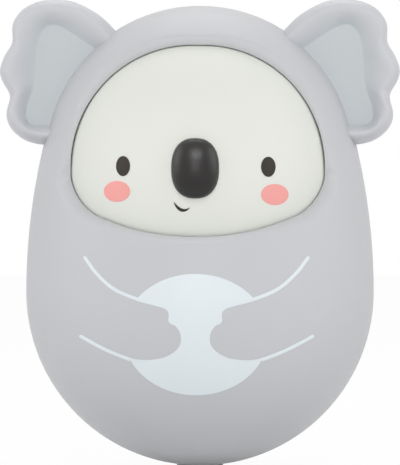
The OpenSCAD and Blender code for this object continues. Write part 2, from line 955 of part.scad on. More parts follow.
module bridge_screws() {
    color(steel_grey)
        foot_screw_places() {
            translate([0, 0, foot_top])
                cylinder(d = screw_head_d, h = screw_head_h);
            translate([0, 0, foot_top - foot_screw_len])
                cylinder(d = screw_d, h = foot_screw_len);
        }
}

module clapper_pin() {
    color(steel_grey)
        translate([0, chime_back, pivot_z])
            rod_along_y(pin_d, -pin_half, pin_half);
}

module clapper_arm() {
    color(inner_white)
        translate([0, chime_back, 0])
            difference() {
                union() {
                    translate([0, 0, pivot_z])
                        rod_along_y(eye_d, -arm_t / 2, arm_t / 2);
                    translate([-arm_w / 2, -arm_t / 2, hammer_z])
                        cube([arm_w, arm_t, clapper_len]);
                }
                translate([0, 0, pivot_z])
                    rod_along_y(pin_d + 2 * pin_gap, -arm_t, arm_t);
                translate([0, 0, hammer_z])
                    rod_along_y(hammer_d, -hammer_len / 2, hammer_len / 2);
            }
}

module clapper_hammer() {
    color(hammer_wood)
        translate([0, chime_back, hammer_z])
            rod_along_y(hammer_d, -hammer_len / 2, hammer_len / 2);
}

// Frame at the middle of the head ball
module at_ball() {
    translate([0, -ball_fwd, ball_z])
        children();
}

// A ball with its poles on the y axis, away from the joint plane of the ball halves
module ball(r) {
    rotate([90, 0, 0])
        rotate([0, 0, 45])
            sphere(r = r);
}

module ball_screw_places() {
    translate([0, 0, ball_screw_r])
        children();
    both_sides()
        translate([ball_screw_r * cos(ball_screw_angle), 0, -ball_screw_r * sin(ball_screw_angle)])
            children();
}

// Bosses and saddles that both ball halves have, on both sides of the joint
module ball_inside() {
    both_sides() {
        rod_along_x(axle_boss_d, ball_r - axle_boss_len, ball_r);
        translate([saddle_x - saddle_t / 2, -ball_r, -ball_r])
            cube([saddle_t, 2 * ball_r, ball_r - weight_drop + saddle_rise]);
    }
}

module ball_holes() {
    rod_along_x(axle_hole_d, -ball_r - cut_over, ball_r + cut_over);
    translate([0, weight_back, -weight_drop])
        rod_along_x(weight_d + 2 * weight_gap, -weight_len / 2 - weight_gap, weight_len / 2 + weight_gap);
}

module face_shell() {
    color(face_cream)
        at_ball()
            difference() {
                union() {
                    difference() {
                        ball(ball_r);
                        ball(ball_r - ball_wall);
                        rear_space();
                    }
                    difference() {
                        intersection() {
                            ball(ball_r - ball_wall / 2);
                            union() {
                                ball_inside();
                                ball_screw_places()
                                    rod_along_y(boss_d, -ball_r, 0);
                                rod_along_y(pad_d, -ball_r, ball_wall + pad_t - ball_r);
                            }
                        }
                        rear_space();
                    }
                }
                ball_holes();
                ball_screw_places()
                    rod_along_y(screw_hole_d, ball_seat - screw_len - hole_extra, cut_over);
                rod_along_y(stem_d + 2 * stem_gap, -reach, -ball_r / 2);
            }
}

module head_back() {
    color(inner_white)
        at_ball()
            difference() {
                union() {
                    difference() {
                        ball(ball_r);
                        ball(ball_r - ball_wall);
                        front_space();
                    }
                    difference() {
                        intersection() {
                            ball(ball_r - ball_wall / 2);
                            union() {
                                ball_inside();
                                ball_screw_places()
                                    rod_along_y(pillar_d, 0, ball_r);
                            }
                        }
                        front_space();
                    }
                    translate([-fin_w / 2, ball_r - ball_wall, -fin_t / 2])
                        cube([fin_w, ball_wall + fin_len, fin_t]);
                }
                ball_holes();
                ball_screw_places() {
                    rod_along_y(screw_hole_d, -cut_over, ball_r);
                    rod_along_y(well_d, ball_seat, ball_r);
                }
            }
}

module head_screws() {
    color(steel_grey)
        at_ball()
            ball_screw_places()
                small_screw(ball_seat, screw_len);
}

module head_axle() {
    color(steel_grey)
        at_ball()
            rod_along_x(axle_d, -axle_half, axle_half);
}

module head_weight() {
    color(steel_grey)
        translate([0, weight_y, weight_z])
            rod_along_x(weight_d, -weight_len / 2, weight_len / 2);
}

module nose() {
    color(gloss_black) {
        difference() {
            translate([0, nose_y, ball_z])
                scale([1, 2 * (nose_set + nose_out) / nose_w, nose_h / nose_w])
                    sphere(r = nose_w / 2);
            at_ball()
                sphere(r = ball_r);
        }
        translate([0, 0, ball_z])
            rod_along_y(stem_d, nose_y - nose_set, pad_y + clip_t + stem_len);
    }
}

module nose_clip() {
    color(steel_grey)
        translate([0, 0, ball_z])
            difference() {
                rod_along_y(clip_d, pad_y, pad_y + clip_t);
                rod_along_y(stem_d, pad_y - cut_over, pad_y + clip_t + cut_over);
            }
}

// A thin print on the front of the head ball, drawn in x and z about its middle
module face_print() {
    at_ball()
        intersection() {
            difference() {
                sphere(r = ball_r + ink_gap + print_t);
                sphere(r = ball_r + ink_gap);
            }
            along_y(-reach, -ball_r / 4)
                children();
        }
}

module oval(w, h) {
    scale([w / h, 1])
        circle(d = h);
}

module eyes() {
    color(gloss_black)
        face_print()
            for (s = [-1, 1])
                translate([s * eye_x, eye_up])
                    oval(eye_w, eye_h);
}

module cheeks() {
    color(cheek_pink)
        face_print()
            for (s = [-1, 1])
                translate([s * cheek_x, -cheek_down])
                    oval(cheek_w, cheek_h);
}

module smile() {
    color(gloss_black)
        face_print()
            translate([-smile_x, -smile_down])
                difference() {
                    circle(r = smile_r);
                    translate([-smile_t * cos(smile_angle), -smile_t * sin(smile_angle)])
                        circle(r = smile_r);
                }
}

front_shell();
rear_shell();
left_ear();
right_ear();
shell_screws();
tummy_print();
carrier_plate();
ballast();
ballast_screws();
chime_rod(1);  // chime_rod_1
chime_rod(2);  // chime_rod_2
chime_rod(3);  // chime_rod_3
chime_rod(4);  // chime_rod_4
chime_rod(5);  // chime_rod_5
chime_rod(6);  // chime_rod_6
chime_bridge();
bridge_screws();
clapper_pin();
face_shell();
head_back();
head_screws();
head_axle();
head_weight();
nose();
nose_clip();
eyes();
cheeks();
smile();
clapper_arm();
clapper_hammer();
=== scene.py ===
import json

import bmesh
import bpy
import numpy as np
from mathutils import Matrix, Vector, geometry


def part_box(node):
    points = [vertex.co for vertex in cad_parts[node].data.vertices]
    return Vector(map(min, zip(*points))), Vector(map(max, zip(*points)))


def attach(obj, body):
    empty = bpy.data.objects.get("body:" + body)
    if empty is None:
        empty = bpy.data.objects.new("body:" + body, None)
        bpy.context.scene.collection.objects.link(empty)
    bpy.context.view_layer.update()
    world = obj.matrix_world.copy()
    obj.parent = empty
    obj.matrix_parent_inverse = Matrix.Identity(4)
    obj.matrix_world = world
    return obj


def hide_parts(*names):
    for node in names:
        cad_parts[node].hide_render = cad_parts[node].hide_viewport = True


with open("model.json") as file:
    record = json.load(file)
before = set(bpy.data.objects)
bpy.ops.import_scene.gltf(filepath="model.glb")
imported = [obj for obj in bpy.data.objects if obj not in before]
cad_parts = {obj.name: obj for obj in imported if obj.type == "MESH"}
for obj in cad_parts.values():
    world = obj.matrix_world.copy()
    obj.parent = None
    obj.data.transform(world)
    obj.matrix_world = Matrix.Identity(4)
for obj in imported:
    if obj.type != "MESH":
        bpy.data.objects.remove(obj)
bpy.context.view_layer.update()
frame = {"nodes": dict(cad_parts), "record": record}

MM = 0.001
TURN = 2 * np.pi

# Egg outline: round base, side arc, round crown
BASE_R = 45.0
BODY_H = 119.0
SIDE_R = 163.0
SIDE_C = SIDE_R - BASE_R
TOP_H = BODY_H - BASE_R
HEAD_R = (SIDE_R**2 - SIDE_C**2 - TOP_H**2) / (2 * (SIDE_R - TOP_H))
HEAD_Z = BODY_H - HEAD_R
BLEND_Z = HEAD_Z + HEAD_R * (HEAD_Z - BASE_R) / (SIDE_R - HEAD_R)
WALL = 2.0

# Face window
WIN_Z = 77.0
WIN_HALF_W = 32.1
WIN_TOP_R = 30.6
WIN_BOTTOM_Z = 59.6
CORNER_R = 11.0
CORNER_X = WIN_HALF_W - CORNER_R
CORNER_Z = WIN_Z - 1.3
CORNER_RISE = CORNER_Z - WIN_BOTTOM_Z
LOWER_R = (CORNER_X**2 + CORNER_RISE**2 - CORNER_R**2) / (2 * (CORNER_RISE - CORNER_R))
COLLAR_W = 1.4
RIM_GAP = 0.32
LIP_R_MIN, LIP_R_MAX = 0.8, 3.0
# Straight wall left under the lip, by how far the window's edge faces up
LIP_WALL = ((-1, -0.9, -0.5, 0, 1), (0.0, 0.1, 0.9, 1.5, 1.0))
# Fine groove at the seam of the shell halves: inset and distance from the seam plane
SEAM_STEPS = ((0.16, 0.02), (0.04, 0.06))
OUTER_END, INNER_END = np.radians(89.65), np.radians(89.9)

# Head ball
BALL_R = 33.5
BALL_Y = -12.9
BALL_Z = 76.1
BALL_WALL = 1.6

# Point from which the rays of the front shell start
STAR_Z = WIN_Z


# Meshes: points this close, in metres, are welded, and edges sharper than this stay crisp
WELD = 2e-7
SLIVER = 1e-8
SHARP_DEG = 48


def grid_faces(rows, cols, close_rows=False):
    """Quads of a grid of points whose rows are rings; closed rows also join the last ring to the first."""
    r, c = np.meshgrid(np.arange(rows if close_rows else rows - 1), np.arange(cols), indexing="ij")
    up, on = (r + 1) % rows, (c + 1) % cols
    quads = np.stack([r * cols + c, r * cols + on, up * cols + on, up * cols + c], axis=-1)
    return quads.reshape(-1, 4)


def moulding(name, points, faces, finish, body, slot, stands_for, dish=None):
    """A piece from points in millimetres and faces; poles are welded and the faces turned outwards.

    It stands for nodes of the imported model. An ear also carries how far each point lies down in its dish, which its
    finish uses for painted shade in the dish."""
    mesh = bpy.data.meshes.new(name)
    faces = faces if isinstance(faces, list) else faces.tolist()
    mesh.from_pydata((np.asarray(points).reshape(-1, 3) * MM).tolist(), [], faces)
    if dish is not None:
        depth = mesh.attributes.new("dish", "FLOAT", "POINT")
        depth.data.foreach_set("value", np.ravel(dish).astype(np.float32))
    bm = bmesh.new()
    bm.from_mesh(mesh)
    bmesh.ops.remove_doubles(bm, verts=bm.verts, dist=WELD)
    bmesh.ops.dissolve_degenerate(bm, edges=bm.edges, dist=SLIVER)
    bmesh.ops.recalc_face_normals(bm, faces=bm.faces)
    bm.to_mesh(mesh)
    bm.free()
    mesh.polygons.foreach_set("use_smooth", np.ones(len(mesh.polygons), dtype=bool))
    mesh.set_sharp_from_angle(angle=np.radians(SHARP_DEG))
    mesh.materials.append(finish)
    mesh.update()
    piece = bpy.data.objects.new(name, mesh)
    bpy.context.scene.collection.objects.link(piece)
    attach(piece, body)
    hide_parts(*stands_for)


def smooth_step(t):
    """Rises from 0 to 1 with level ends."""
    t = np.clip(t, 0, 1)
    return t * t * (3 - 2 * t)


# Egg and head ball


def egg_r(z, inset=0.0):
    """Radius of the egg at a height: circle of the base below, side arc between, circle of the crown above."""
    z = np.asarray(z, dtype=float)
    blend = HEAD_Z + (HEAD_R - inset) * (HEAD_Z - BASE_R) / (SIDE_R - HEAD_R)
    low = np.sqrt(np.clip((BASE_R - inset) ** 2 - (z - BASE_R) ** 2, 0, None))
    mid = np.sqrt(np.clip((SIDE_R - inset) ** 2 - (z - BASE_R) ** 2, 0, None)) - SIDE_C
    top = np.sqrt(np.clip((HEAD_R - inset) ** 2 - (z - HEAD_Z) ** 2, 0, None))
    return np.where(z < BASE_R, low, np.where(z < blend, mid, top))


def egg_y(x, z, inset=0.0):
    """Depth of the egg's skin from the seam plane: the root of its radius squared less x squared."""
    return np.sqrt(np.clip(egg_r(z, inset) ** 2 - np.asarray(x) ** 2, 0, None))


def arc_centre(z):
    """Radius and height of the centre of the outline's arc at a height: base, side or crown."""
    return np.where((z > BASE_R) & (z < BLEND_Z), -SIDE_C, 0.0), np.where(z < BLEND_Z, BASE_R, HEAD_Z)


def egg_normal(p):
    """Outward direction of the egg: away from the centre of the arc that holds the point's height."""
    x, y, z = p[..., 0], p[..., 1], p[..., 2]
    rho = np.sqrt(x * x + y * y) + 1e-9
    centre_r, centre_z = arc_centre(z)
    out, up = rho - centre_r, z - centre_z
    length = np.sqrt(out * out + up * up) + 1e-9
    return np.stack([out / length * x / rho, out / length * y / rho, up / length], axis=-1)


def egg_depth(p):
    """How far a point lies inside the egg's skin: radius of its arc less the distance from the arc's centre."""
    x, y, z = p[..., 0], p[..., 1], p[..., 2]
    rho = np.sqrt(x * x + y * y)
    low = BASE_R - np.sqrt(rho**2 + (z - BASE_R) ** 2)
    mid = SIDE_R - np.sqrt((rho + SIDE_C) ** 2 + (z - BASE_R) ** 2)
    top = HEAD_R - np.sqrt(rho**2 + (z - HEAD_Z) ** 2)
    return np.where(z < BASE_R, low, np.where(z < BLEND_Z, mid, top))


def on_egg(x, z, lift):
    """Points on the front of the egg, lifted off its skin along the outward direction."""
    p = np.stack([x, -egg_y(x, z), z], axis=-1)
    return p + egg_normal(p) * np.asarray(lift)[..., None]


def ball_y(x, z, lift):
    """Front of the head ball at a place seen from the front, moved outwards by the lift."""
    room = (BALL_R + lift) ** 2 - x**2 - (z - BALL_Z) ** 2
    return BALL_Y - np.sqrt(np.clip(room, 0, None))


def on_ball(x, z, lift):
    """Points on the front of the head ball, moved outwards by the lift."""
    return np.stack([x, ball_y(x, z, lift), z], axis=-1)


# Shell


def outline_reach(angle, inset=0.0):
    """Distance from the star point to the egg's outline in a direction, found by halving an interval."""
    low, high = np.zeros_like(angle), np.full_like(angle, BODY_H)
    for _ in range(48):
        mid = (low + high) / 2
        inside = egg_r(STAR_Z + mid * np.sin(angle), inset) > mid * np.abs(np.cos(angle))
        low, high = np.where(inside, mid, low), np.where(inside, high, mid)
    return (low + high) / 2


def star_rows(x, z, inset, share, last_turn):
    """Rows on the front of the egg from a closed line to the seam.

    Along each ray from the star point the distance is the outline's reach times the sine of a turn,
    which runs evenly from the line's own turn to the last turn beside the seam."""
    angle = np.arctan2(z - STAR_Z, x)
    reach = outline_reach(angle, inset)
    first = np.arcsin(np.clip(np.hypot(x, z - STAR_Z) / reach, 0, 1))
    turn = first + (last_turn - first) * share[:, None]
    px = reach * np.sin(turn) * np.cos(angle)
    pz = STAR_Z + reach * np.sin(turn) * np.sin(angle)
    return np.stack([px, -egg_y(px, pz, inset), pz], axis=-1)


def seam_row(x, z, inset, back):
    """One row beside the seam plane, on the egg's outline moved inwards by the inset."""
    angle = np.arctan2(z - STAR_Z, x)
    reach = outline_reach(angle) - inset
    x, y, z = reach * np.cos(angle), np.full_like(angle, -back), STAR_Z + reach * np.sin(angle)
    return np.stack([x, y, z], axis=-1)[None]


def window_edge(half_count):
    """Evenly spaced points and outward directions round the face window.

    The right half runs along the lower arc, the corner arc, the short side, the upper arc and the short top,
    and the left half mirrors it."""
    lower_z = WIN_BOTTOM_Z + LOWER_R
    touch = np.arctan2(CORNER_Z - lower_z, CORNER_X)
    top_x = WIN_HALF_W - WIN_TOP_R
    step = np.linspace(0, 1, 400)
    parts = [
        (0, lower_z, LOWER_R, -np.pi / 2 + (touch + np.pi / 2) * step),
        (CORNER_X, CORNER_Z, CORNER_R, touch * (1 - step)),
        (top_x, WIN_Z, WIN_TOP_R, np.pi / 2 * step),
        (0, WIN_Z, WIN_TOP_R, np.full(2, np.pi / 2)),
    ]
    x = np.concatenate([cx + r * np.cos(a) for cx, cz, r, a in parts])
    z = np.concatenate([cz + r * np.sin(a) for cx, cz, r, a in parts])
    turn = np.concatenate([a for cx, cz, r, a in parts])
    along = np.concatenate([[0], np.cumsum(np.hypot(np.diff(x), np.diff(z)))])
    at = np.linspace(0, along[-1], half_count + 1)
    x, z, turn = (np.interp(at, along, v) for v in (x, z, turn))
    x, z = np.concatenate([x, -x[-2:0:-1]]), np.concatenate([z, z[-2:0:-1]])
    out_x = np.concatenate([np.cos(turn), -np.cos(turn[-2:0:-1])])
    out_z = np.concatenate([np.sin(turn), np.sin(turn[-2:0:-1])])
    return x, z, out_x, out_z


def front_skin():
    """Front half of the shell as one closed ring of sections.

    Each section runs from the seam over the outside to the window, round the lip on a quarter circle,
    straight back to the collar over the head ball, along the collar, and over the inside to the seam.
    The lip is as round as the shell stands proud of the ball, less a short straight wall."""
    x, z, out_x, out_z = window_edge(240)
    edge = np.stack([x, -egg_y(x, z), z], axis=-1)
    lean = egg_normal(edge)
    front = -lean[:, 1]
    side = np.sqrt(1 - front**2)
    proud = ball_y(x, z, RIM_GAP) - edge[:, 1]
    lip_r = np.clip(proud - np.interp(out_z, *LIP_WALL), LIP_R_MIN, LIP_R_MAX)
    grow = lip_r * (front + side)
    share = np.linspace(0, 1, 110) ** 1.25
    outer = star_rows(x + out_x * grow, z + out_z * grow, 0.0, share, OUTER_END)
    start = outer[0]
    normal = egg_normal(start)
    inward = np.stack([-out_x, np.zeros_like(x), -out_z], axis=-1)
    inward -= normal * np.sum(inward * normal, axis=-1, keepdims=True)
    inward /= np.linalg.norm(inward, axis=-1, keepdims=True)
    turn = np.linspace(0, np.pi / 2, 12)[1:, None, None]
    lip = start + lip_r[:, None] * (inward * np.sin(turn) - normal * (1 - np.cos(turn)))
    end = lip[-1]
    bottom = on_ball(end[:, 0], end[:, 2], RIM_GAP)
    wall = end + (bottom - end) * np.linspace(0.2, 1, 5)[:, None, None]
    step = np.linspace(0.25, 1, 4)[:, None] * COLLAR_W
    cx, cz = end[:, 0] + out_x * step, end[:, 2] + out_z * step
    collar = on_ball(cx, cz, RIM_GAP)
    inner = star_rows(cx[-1], cz[-1], WALL, np.linspace(0, 1, 40), INNER_END)
    seam = np.concatenate([seam_row(x, z, *groove) for groove in SEAM_STEPS])
    points = np.concatenate([seam, outer[::-1], lip, wall, collar, inner])
    return points, grid_faces(points.shape[0], points.shape[1], close_rows=True)


def egg_profile(count):
    """Evenly spaced points of the egg's outline from the lowest point to the crown, as radius and height."""
    base_turn = np.linspace(0, np.pi / 2, 600)
    crown_turn = np.linspace(np.arcsin((BLEND_Z - HEAD_Z) / HEAD_R), np.pi / 2, 600)
    z = np.concatenate([BASE_R - BASE_R * np.cos(base_turn), np.linspace(BASE_R, BLEND_Z, 300)[1:],
                        HEAD_Z + HEAD_R * np.sin(crown_turn)[1:]])
    r = egg_r(z)
    r[0], r[-1] = 0, 0
    along = np.concatenate([[0], np.cumsum(np.hypot(np.diff(r), np.diff(z)))])
    at = np.linspace(0, along[-1], count)
    height = np.interp(at, along, z)
    radius = egg_r(height)
    radius[[0, -1]] = 0
    return radius, height


# Shell screws: distance and angle from the centre of the crown or the base, and that centre's height
TOP_SCREW = (HEAD_R - 5.1, np.radians(51.3), HEAD_Z)
LOW_SCREW = (BASE_R - 11.6, -np.radians(8.6), BASE_R)
SCREW_PLACES = [(s * r * np.cos(a), c + r * np.sin(a)) for r, a, c in (TOP_SCREW, LOW_SCREW) for s in (-1, 1)]
WELL_FLOOR_Y = 3.0
INNER_FLOOR_Y = 0.6
INNER_WIDEN = 1.3
# Rings of a well from its middle outwards: radius, drop under the skin at the round mouth, share of the plain grid
WELL_R = np.array([0, 1.5, 2.55, 2.8, 2.8, 2.87, 3.1, 3.55, 4.2, 4.2])
WELL_DROP = np.array([0, 0, 0, 0, 0.42, 0.13, 0, 0, 0, 0])
WELL_KEEP = np.array([0, 0, 0, 0, 0, 0, 0, 0.25, 0.62, 1.0])
WELL_FLOOR_RINGS = 3


def with_wells(x, y, z, inset, floor_y, widen):
    """A half egg's grid with four screw wells let in.

    Round each well the grid's square rings become circles, with the points of a ring spread evenly over the turn.
    The inner rings make the floor and the wall, the next ones round the mouth, and the outer ones blend back into
    the grid."""
    span = len(WELL_R) - 1
    di, dj = np.mgrid[-span:span + 1, -span:span + 1]
    ring = np.maximum(np.abs(di), np.abs(dj))
    flat = np.abs(dj) >= np.abs(di)
    far = np.where(ring == 0, 1, np.where(flat, -dj, di))
    way = np.where(flat, di, 2 * far + dj) / far * np.pi / 4 + np.pi * (far < 0)
    r, keep, drop = WELL_R[ring] + widen * (ring > 0), WELL_KEEP[ring], WELL_DROP[ring]
    for wx, wz in SCREW_PLACES:
        near = np.argmin((x - wx) ** 2 + (z - wz) ** 2 + (y - egg_y(wx, wz, inset)) ** 2)
        i, j = np.unravel_index(near, x.shape)
        box = np.s_[i - span:i + span + 1, j - span:j + span + 1]
        px = keep * x[box] + (1 - keep) * (wx + r * np.cos(way))
        pz = keep * z[box] + (1 - keep) * (wz + r * np.sin(way))
        x[box], z[box] = px, pz
        y[box] = np.where(ring <= WELL_FLOOR_RINGS, floor_y, egg_y(px, pz, inset) - drop)
    return np.stack([x, y, z], axis=-1)


def rear_skin():
    """Rear half of the shell: each row runs over the outside from seam to seam and back over the inside.

    Outside and inside are half turns of the egg's outline and of the outline moved in by the wall."""
    rows, cols = 173, 81
    radius, height = egg_profile(rows)
    turn = np.linspace(np.pi / 2 - OUTER_END, np.pi / 2 + OUTER_END, cols)

    def half_turn(inset, floor_y, widen):
        centre_r, centre_z = arc_centre(height)
        arc = np.hypot(radius - centre_r, height - centre_z)
        r = np.clip(radius - inset * (radius - centre_r) / arc, 0, None)
        h = height - inset * (height - centre_z) / arc
        grid = r[:, None] * np.cos(turn), r[:, None] * np.sin(turn), np.repeat(h[:, None], cols, axis=1)
        return with_wells(*grid, inset, floor_y, widen)

    def seam_column(side, inset, back):
        base = np.stack([side * radius, np.full(rows, back), height], axis=-1)
        pull = egg_normal(base) * inset
        pull[[0, -1]] = [[0, 0, -inset], [0, 0, inset]]
        return (base - pull)[:, None]

    outside = half_turn(0.0, WELL_FLOOR_Y, 0.0)
    inside = half_turn(WALL, INNER_FLOOR_Y, INNER_WIDEN)[:, ::-1]
    right = [seam_column(1, *groove) for groove in SEAM_STEPS]
    left = [seam_column(-1, *groove) for groove in SEAM_STEPS[::-1]]
    points = np.concatenate([*right, outside, *left, inside], axis=1)
    return points, grid_faces(points.shape[0], points.shape[1])


def foot_skin(foot_r=6.0, edge=0.18, top=0.9, count=120):
    """The small flat foot: a turned outline, flat below, with a rounded edge, that runs up into the shell."""
    flat = np.linspace(0, foot_r - edge, 9)[:-1]
    bend = np.linspace(-np.pi / 2, 0, 9)
    r = np.concatenate([flat, foot_r - edge + edge * np.cos(bend), [foot_r, 0]])[:, None]
    h = np.concatenate([0 * flat, edge + edge * np.sin(bend), [top, top]])[:, None]
    angle = np.linspace(0, TURN, count, endpoint=False)
    points = np.stack([r * np.cos(angle), r * np.sin(angle), h * np.ones_like(angle)], axis=-1)
    return points, grid_faces(len(r), count)


# Ears


def through(points, each=10):
    """A smooth line through points: between two of them a cubic whose end slopes are half their neighbours' span."""
    p = np.array(points, dtype=float)
    p = np.concatenate([[2 * p[0] - p[1]], p, [2 * p[-1] - p[-2]]])
    a, b, c, d = p[:-3], p[1:-2], p[2:-1], p[3:]
    t = np.linspace(0, 1, each, endpoint=False)[:, None, None]
    line = 0.5 * (2 * b + (c - a) * t + (2 * a - 5 * b + 4 * c - d) * t**2 + (3 * b - a - 3 * c + d) * t**3)
    return np.concatenate([line.transpose(1, 0, 2).reshape(-1, 2), p[-2:-1]])


# Lines of the ear's rim and of its dish, seen from the front, from the root at the crown
EAR_OUTLINE = [
    (5.5, -17), (9, -16.3), (11.5, -15), (14, -12.5), (15, -9), (14, -4.5), (15.8, -1), (16.7, 2), (15.4, 6),
    (13.4, 9.5), (13.4, 14), (11.3, 17.4), (8.5, 19.3), (4.5, 20.4), (-1.5, 20.2), (-7.5, 17.5), (-12, 13.8),
    (-16, 8), (-16, -2), (-12.5, -9), (-7, -13.2), (0, -16.2)]
DISH_OUTLINE = [
    (-7.63, 8.04), (-0.54, 12.7), (3.2, 14.0), (5.8, 11.9), (6.9, 7.5), (7.2, 1.9), (8.0, -3.6), (9.4, -7.2),
    (9.6, -10.6), (7.9, -12.3), (4.31, -11.9), (-3, -12.5), (-9, -8), (-11, 0), (-10, 6)]
ROOT_R = HEAD_R + 0.7
ROOT_TURN = np.radians(31.3)
ROOT_X = ROOT_R * np.cos(ROOT_TURN)
ROOT_Z = HEAD_Z + ROOT_R * np.sin(ROOT_TURN)
EAR_FRONT_Y = -10.5
EAR_BACK_Y = 5.0
EAR_SINK = 0.6
DISH_Y = -8.0
DISH_CROWN = 0.25
RIM_SOFT_DEG, DISH_SOFT_DEG = 2.2, 5.0
# How steep the step from dish to rim is, by direction in degrees: 0 soft, 1 steep
STEP_CRISP = ((-180, -75, -40, 0, 35, 70, 180), (0.8, 0.8, 0.55, 0.35, 0.4, 0.9, 0.9))


def signed_deg(angle):
    """An angle in degrees from -180 to 180."""
    return (np.degrees(angle) + 180) % 360 - 180


def reach_of(outline, count, soft):
    """Distance from the root to a smooth closed line through points, in evenly spread directions.

    It is averaged over its neighbours with a bell-shaped weight of the given width in degrees."""
    line = through(outline + outline[:2], 12)
    way = np.arctan2(line[:, 1], line[:, 0])
    order = np.argsort(way)
    angle = np.linspace(0, TURN, count, endpoint=False)
    reach = np.interp(angle, way[order], np.hypot(line[:, 0], line[:, 1])[order], period=TURN)
    bell = np.exp(-0.5 * (signed_deg(angle) / soft) ** 2)
    return angle, np.real(np.fft.ifft(np.fft.fft(reach) * np.fft.fft(bell / bell.sum())))


def ear_skin(side, edge_r=2.6, back_r=5.5):
    """An ear as rings about its root, each ring at a distance and a depth.

    The rings run over the flat dish to its own outline, up a step that is steep above and below and soft at the side,
    to the crest of the rim, round the rim on half an ellipse, and over the back. Points inside the shell are set
    just under its skin. Also gives how far each point lies down in the dish."""
    angle, reach = reach_of(EAR_OUTLINE, 360, RIM_SOFT_DEG)
    floor = reach_of(DISH_OUTLINE, 360, DISH_SOFT_DEG)[1]
    crisp = np.interp(signed_deg(angle), *STEP_CRISP)
    rise = np.linspace(0, 1, 34)[:, None]
    step = (1 - crisp) * smooth_step(rise) + crisp * np.sin(rise * np.pi / 2)
    step_s = floor + (reach - edge_r - floor) * rise
    step_y = DISH_Y + (EAR_FRONT_Y - DISH_Y) * step
    dish = np.linspace(0, 0.97, 14)[:, None]
    rim = np.linspace(np.pi / 2, -np.pi / 2, 44)[1:, None]
    mid_y, half_t = (EAR_FRONT_Y + EAR_BACK_Y) / 2, (EAR_BACK_Y - EAR_FRONT_Y) / 2
    back = np.linspace(1, 0, 14)[1:, None]
    even = np.ones_like(angle)
    bend = np.where(rim > 0, edge_r, back_r)
    s = np.concatenate([dish * floor, step_s, reach - bend + bend * np.cos(rim), back * (reach - back_r)])
    y = np.concatenate([(DISH_Y - DISH_CROWN * (1 - dish**2)) * even, step_y, (mid_y - half_t * np.sin(rim)) * even,
                        EAR_BACK_Y + 0 * back * even])
    points = np.stack([ROOT_X + s * np.cos(angle), y, ROOT_Z + s * np.sin(angle)], axis=-1)
    sunk = np.clip(egg_depth(points) - EAR_SINK, 0, None)[..., None]
    points = points + egg_normal(points) * sunk
    points[..., 0] *= side
    down = np.concatenate([1 + 0 * dish * even, 1 - smooth_step(step), 0 * rim * even, 0 * back * even])
    return points, grid_faces(points.shape[0], points.shape[1]), down


# Face, nose and face prints


def face_skin(rear_y):
    """Front half of the head ball: rings about the line of sight over the outside, then back over the inside."""
    inner_r = BALL_R - BALL_WALL
    last, last_in = (np.arccos(np.clip((BALL_Y - rear_y) / r, -1, 1)) for r in (BALL_R, inner_r))
    out_turn, in_turn = np.linspace(0, last, 120), np.linspace(last_in, 0, 50)
    turn = np.concatenate([out_turn, in_turn])[:, None]
    r = np.concatenate([np.full(out_turn.shape, BALL_R), np.full(in_turn.shape, inner_r)])[:, None]
    angle = np.linspace(0, TURN, 240, endpoint=False)
    points = np.stack([r * np.sin(turn) * np.cos(angle), BALL_Y - r * np.cos(turn) * np.ones_like(angle),
                       BALL_Z + r * np.sin(turn) * np.sin(angle)], axis=-1)
    return points, grid_faces(points.shape[0], points.shape[1])


NOSE_Y = BALL_Y - BALL_R + 1.0
NOSE_HALF_W, NOSE_HALF_H, NOSE_DEPTH = 5.95, 7.45, 4.6


def nose_skin(fullness=2.35):
    """The nose: a cushion whose outline is an oval of higher power than an ellipse, and whose depth is an ellipse."""
    turn = np.linspace(0, np.pi, 90)[:, None]
    angle = np.linspace(0, TURN, 192, endpoint=False)

    def full(v):
        return np.sign(v) * np.abs(v) ** (2 / fullness)

    x = NOSE_HALF_W * np.sin(turn) * full(np.cos(angle))
    z = BALL_Z + NOSE_HALF_H * np.sin(turn) * full(np.sin(angle))
    y = NOSE_Y - NOSE_DEPTH * np.cos(turn) * np.ones_like(angle)
    return np.stack([x, y, z], axis=-1), grid_faces(len(turn), len(angle))


# Heights of the ink over the surface: its top, the shoulder and the edge of its rim, and its underside
INK, INK_SHOULDER, INK_EDGE, INK_UNDER = 0.12, 0.095, 0.05, -0.05
ARM_INK = 0.1
# Places on the ball are across and up from its middle
EYES, EYE_SIZE = ((-18.0, 0.65), (18.0, 0.45)), (1.8, 2.5)
CHEEKS, CHEEK_SIZE = ((-19.6, -5.6), (19.6, -6.4)), (3.4, 2.6)
SMILE = ((-5.3, -8.3), (-3.5, -11.55), (-1.25, -9.65))
SMILE_HALF = 0.4


def oval_print(cx, cz, half_w, half_h):
    """An oval of ink on the head ball: rings of a flat top with a soft edge, closed underneath."""
    top, under = np.linspace(0, 0.965, 24), np.linspace(0.9, 0, 8)
    ring = np.concatenate([top, [0.99, 1.0, 1.0], under])[:, None]
    lift = np.concatenate([np.full(top.shape, INK), [INK_SHOULDER, INK_EDGE, INK_UNDER],
                           np.full(under.shape, INK_UNDER)])[:, None]
    angle = np.linspace(0, TURN, 96, endpoint=False)
    x, z = cx + half_w * ring * np.cos(angle), BALL_Z + cz + half_h * ring * np.sin(angle)
    return on_ball(x, z, lift), grid_faces(len(ring), len(angle))


def beside(way):
    """Directions square to the directions of a line."""
    return np.stack([-way[:, 1], way[:, 0]], axis=-1)


